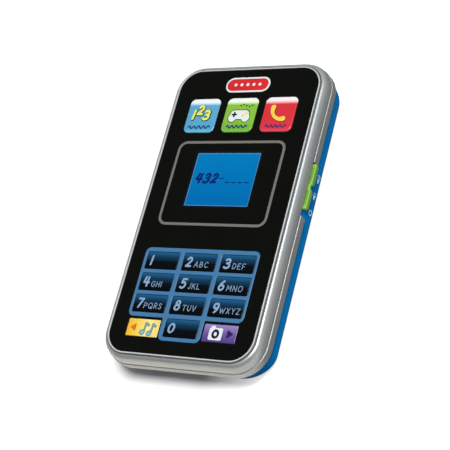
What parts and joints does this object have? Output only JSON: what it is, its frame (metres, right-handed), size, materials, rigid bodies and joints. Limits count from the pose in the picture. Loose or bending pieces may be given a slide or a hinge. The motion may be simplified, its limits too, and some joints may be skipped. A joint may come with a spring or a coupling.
{
  "type": "toy cell phone",
  "caption": "Slim toy phone with a display, a keypad of travelling keys, coloured picture tiles, a side slide switch and a screwed battery door at the back.",
  "frame": {"origin": "middle of the flat back; the phone lies on its back", "axes": "+Z out of the face, +Y towards the speaker end, +X towards the slide switch"},
  "size_m": [0.0781, 0.14, 0.0195],
  "materials": {
    "silver_paint": "silver metallic paint on moulded plastic, fine flake, satin",
    "blue_shell": "moulded blue plastic, semi-gloss",
    "black_face": "glossy black printed panel",
    "blue_lattice": "mid-blue moulded lattice, gloss",
    "clear_lens": "clear moulded window, polished",
    "display_blue": "lit blue display",
    "white_plastic": "white moulded plastic",
    "light_guide": "clear blue light guide",
    "ribbon_film": "amber printed film",
    "key_navy": "navy to black key caps",
    "key_yellow": "yellow to orange key cap",
    "key_purple": "purple key cap",
    "tile_blue": "light blue tile, high gloss",
    "tile_green": "green tile, high gloss",
    "tile_red": "red tile, high gloss",
    "silicone": "translucent grey silicone rubber",
    "board_green": "green solder mask on glass-fibre board",
    "black_resin": "black potting resin",
    "component_grey": "small electronic components",
    "bright_steel": "plated steel",
    "ivory_plastic": "ivory moulded plastic",
    "slider_green": "lime green moulded plastic",
    "cone_paper": "black paper cone",
    "screw_steel": "zinc-plated steel",
    "cell_wrap": "printed metallic sleeve over a steel can",
    "wire_cover": "PVC wire covering"
  },
  "bodies": {
    "phone": {"front_housing": "silver_paint", "side_band": "silver_paint", "rear_housing": "blue_shell", "face_panel": "black_face", "keypad_bezel": "blue_lattice", "display_lens": "clear_lens", "display_glass": "display_blue", "display_holder": "white_plastic", "backlight": "light_guide", "display_ribbon": "ribbon_film", "rubber_keypad": "silicone", "rubber_tile_pad": "silicone", "main_board": "board_green", "sound_chip": "black_resin", "board_components": "component_grey", "switch_housing": "bright_steel", "speaker_frame": "bright_steel", "speaker_cone": "cone_paper", "speaker_magnet": "bright_steel", "battery_1": "cell_wrap", "battery_2": "cell_wrap", "battery_3": "cell_wrap", "battery_springs": "bright_steel", "battery_contacts": "bright_steel", "case_screws": "screw_steel", "board_screws": "screw_steel", "speaker_wires": "wire_cover", "battery_wires": "wire_cover"},
    "key_1_cap": {"key_1": "key_navy"},
    "key_2_cap": {"key_2": "key_navy"},
    "key_3_cap": {"key_3": "key_navy"},
    "key_4_cap": {"key_4": "key_navy"},
    "key_5_cap": {"key_5": "key_navy"},
    "key_6_cap": {"key_6": "key_navy"},
    "key_7_cap": {"key_7": "key_navy"},
    "key_8_cap": {"key_8": "key_navy"},
    "key_9_cap": {"key_9": "key_navy"},
    "key_0_cap": {"key_0": "key_navy"},
    "music_key_cap": {"music_key": "key_yellow"},
    "camera_key_cap": {"camera_key": "key_purple"},
    "numbers_tile_cap": {"numbers_tile": "tile_blue"},
    "games_tile_cap": {"games_tile": "tile_green"},
    "calling_tile_cap": {"calling_tile": "tile_red"},
    "slider": {"power_slider": "slider_green", "switch_lever": "ivory_plastic"},
    "door": {"battery_door": "blue_shell"},
    "captive_screw": {"door_screw": "screw_steel"}
  },
  "joints": [
    {"name": "key_1_press", "type": "slide", "parent": "phone", "child": "key_1_cap", "axis": [0, 0, -1], "range_m": [0, 0.001], "stiffness_N_per_m": 400, "springref_m": -0.0005},
    {"name": "key_2_press", "type": "slide", "parent": "phone", "child": "key_2_cap", "axis": [0, 0, -1], "range_m": [0, 0.001], "stiffness_N_per_m": 400, "springref_m": -0.0005},
    {"name": "key_3_press", "type": "slide", "parent": "phone", "child": "key_3_cap", "axis": [0, 0, -1], "range_m": [0, 0.001], "stiffness_N_per_m": 400, "springref_m": -0.0005},
    {"name": "key_4_press", "type": "slide", "parent": "phone", "child": "key_4_cap", "axis": [0, 0, -1], "range_m": [0, 0.001], "stiffness_N_per_m": 400, "springref_m": -0.0005},
    {"name": "key_5_press", "type": "slide", "parent": "phone", "child": "key_5_cap", "axis": [0, 0, -1], "range_m": [0, 0.001], "stiffness_N_per_m": 400, "springref_m": -0.0005},
    {"name": "key_6_press", "type": "slide", "parent": "phone", "child": "key_6_cap", "axis": [0, 0, -1], "range_m": [0, 0.001], "stiffness_N_per_m": 400, "springref_m": -0.0005},
    {"name": "key_7_press", "type": "slide", "parent": "phone", "child": "key_7_cap", "axis": [0, 0, -1], "range_m": [0, 0.001], "stiffness_N_per_m": 400, "springref_m": -0.0005},
    {"name": "key_8_press", "type": "slide", "parent": "phone", "child": "key_8_cap", "axis": [0, 0, -1], "range_m": [0, 0.001], "stiffness_N_per_m": 400, "springref_m": -0.0005},
    {"name": "key_9_press", "type": "slide", "parent": "phone", "child": "key_9_cap", "axis": [0, 0, -1], "range_m": [0, 0.001], "stiffness_N_per_m": 400, "springref_m": -0.0005},
    {"name": "key_0_press", "type": "slide", "parent": "phone", "child": "key_0_cap", "axis": [0, 0, -1], "range_m": [0, 0.001], "stiffness_N_per_m": 400, "springref_m": -0.0005},
    {"name": "music_key_press", "type": "slide", "parent": "phone", "child": "music_key_cap", "axis": [0, 0, -1], "range_m": [0, 0.001], "stiffness_N_per_m": 400, "springref_m": -0.0005},
    {"name": "camera_key_press", "type": "slide", "parent": "phone", "child": "camera_key_cap", "axis": [0, 0, -1], "range_m": [0, 0.001], "stiffness_N_per_m": 400, "springref_m": -0.0005},
    {"name": "numbers_tile_press", "type": "slide", "parent": "phone", "child": "numbers_tile_cap", "axis": [0, 0, -1], "range_m": [0, 0.001], "stiffness_N_per_m": 400, "springref_m": -0.0005},
    {"name": "games_tile_press", "type": "slide", "parent": "phone", "child": "games_tile_cap", "axis": [0, 0, -1], "range_m": [0, 0.001], "stiffness_N_per_m": 400, "springref_m": -0.0005},
    {"name": "calling_tile_press", "type": "slide", "parent": "phone", "child": "calling_tile_cap", "axis": [0, 0, -1], "range_m": [0, 0.001], "stiffness_N_per_m": 400, "springref_m": -0.0005},
    {"name": "slider_slide", "type": "slide", "parent": "phone", "child": "slider", "axis": [0, 1, 0], "range_m": [-0.0028, 0]},
    {"name": "door_hinge", "type": "hinge", "parent": "phone", "child": "door", "pos_m": [0, 0.03775, 0.00075], "axis": [1, 0, 0], "range_deg": [0, 75]},
    {"name": "door_screw_turn", "type": "hinge", "parent": "door", "child": "captive_screw", "pos_m": [0, -0.0203, 0], "axis": [0, 0, 1], "continuous": true}
  ]
}
